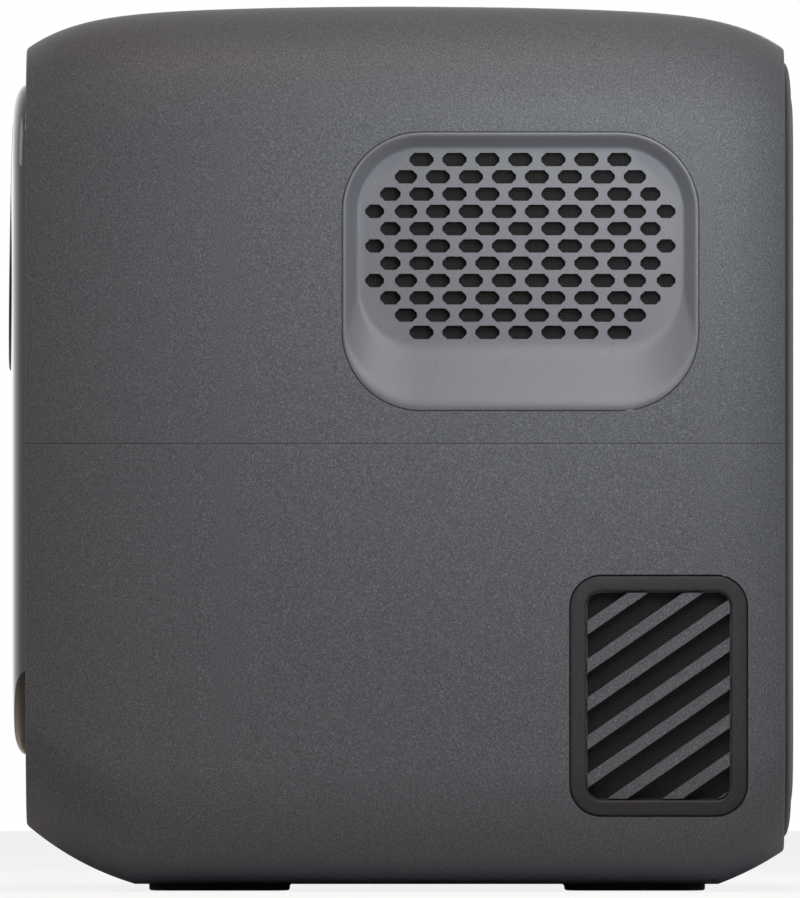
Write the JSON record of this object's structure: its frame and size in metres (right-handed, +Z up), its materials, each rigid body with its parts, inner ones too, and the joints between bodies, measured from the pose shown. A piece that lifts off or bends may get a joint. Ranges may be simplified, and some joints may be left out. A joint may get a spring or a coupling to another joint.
{
  "type": "projector",
  "caption": "Compact upright home projector with a dished speaker grille, slanted vent louvres, glossy front panel and inner light engine.",
  "frame": {"origin": "middle of the footprint, on the surface that the feet stand on", "axes": "+Z up, the lens faces -Y, +X is the side with the exhaust fan"},
  "size_m": [0.128, 0.1579, 0.1776],
  "materials": {
    "case_grey": "satin",
    "grille_grey": "satin",
    "dark_plastic": "matte",
    "gloss_black": "gloss",
    "black_plastic": "matte",
    "rubber": "matte",
    "brass": "satin",
    "steel": "satin",
    "aluminium": "satin",
    "copper": "satin",
    "glass": "polished",
    "mirror": "polished",
    "board": "satin",
    "cone": "matte",
    "cloth": "matte"
  },
  "bodies": {
    "case": {"audio_jack": "black_plastic", "board_heat_sink": "aluminium", "button_board": "board", "case_screw_front_left": "steel", "case_screw_front_right": "steel", "case_screw_rear_left": "steel", "case_screw_rear_right": "steel", "dc_inlet": "black_plastic", "engine_base": "aluminium", "engine_fan_frame": "black_plastic", "engine_tower": "black_plastic", "fan_frame": "black_plastic", "focus_motor": "steel", "fold_mirror": "mirror", "foot_front_left": "rubber", "foot_front_right": "rubber", "foot_rear_left": "rubber", "foot_rear_right": "rubber", "fresnel_in": "glass", "fresnel_out": "glass", "front_frame": "dark_plastic", "front_panel": "gloss_black", "hdmi_port": "steel", "heat_pipe_left": "copper", "heat_pipe_right": "copper", "heat_sink": "aluminium", "ir_window": "gloss_black", "lcd_panel": "gloss_black", "led_board": "copper", "led_lens": "glass", "lens_holder": "aluminium", "lens_ring": "black_plastic", "louvre_frame_left": "dark_plastic", "louvre_frame_right": "dark_plastic", "louvre_slats_left": "case_grey", "louvre_slats_right": "case_grey", "lower_shell": "case_grey", "main_board": "board", "mirror_hood": "black_plastic", "power_board": "board", "rear_panel": "dark_plastic", "side_grille_left": "grille_grey", "side_grille_right": "grille_grey", "speaker_box_left": "black_plastic", "speaker_box_right": "black_plastic", "speaker_cloth_left": "cloth", "speaker_cloth_right": "cloth", "tripod_insert": "brass", "upper_shell": "case_grey", "usb_port": "steel"},
    "button": {"power_button": "black_plastic"},
    "main_fan": {"fan_rotor": "black_plastic"},
    "engine_fan": {"engine_fan_rotor": "black_plastic"},
    "barrel": {"lens_barrel": "black_plastic", "lens_front_glass": "glass", "lens_rear_glass": "glass"},
    "screw": {"focus_screw": "steel"},
    "cone_left": {"speaker_cone_left": "cone"},
    "cone_right": {"speaker_cone_right": "cone"}
  },
  "joints": [
    {"name": "button_press", "type": "slide", "parent": "case", "child": "button", "axis": [0, 0, 1], "range_m": [-0.0006, 0], "stiffness_N_per_m": 900},
    {"name": "main_fan_spin", "type": "hinge", "parent": "case", "child": "main_fan", "pos_m": [0.0493, 0.05175, 0.0394], "axis": [1, 0, 0], "continuous": true},
    {"name": "engine_fan_spin", "type": "hinge", "parent": "case", "child": "engine_fan", "pos_m": [0, 0.0273, 0.0795], "axis": [0, 1, 0], "continuous": true},
    {"name": "focus_slide", "type": "slide", "parent": "case", "child": "barrel", "axis": [0, -1, 0], "range_m": [-0.002, 0.001]},
    {"name": "focus_turn", "type": "hinge", "parent": "case", "child": "screw", "pos_m": [0.02316, -0.055, 0.11235], "axis": [0, 1, 0], "range_deg": [-1441, 721]},
    {"name": "cone_left_travel", "type": "slide", "parent": "case", "child": "cone_left", "axis": [1, 0, 0], "range_m": [-0.0005, 0.0005], "stiffness_N_per_m": 1200},
    {"name": "cone_right_travel", "type": "slide", "parent": "case", "child": "cone_right", "axis": [1, 0, 0], "range_m": [-0.0005, 0.0005], "stiffness_N_per_m": 1200}
  ],
  "couplings": [
    {"joint": "focus_turn", "follows": "focus_slide", "rad_per_m": 12566}
  ]
}
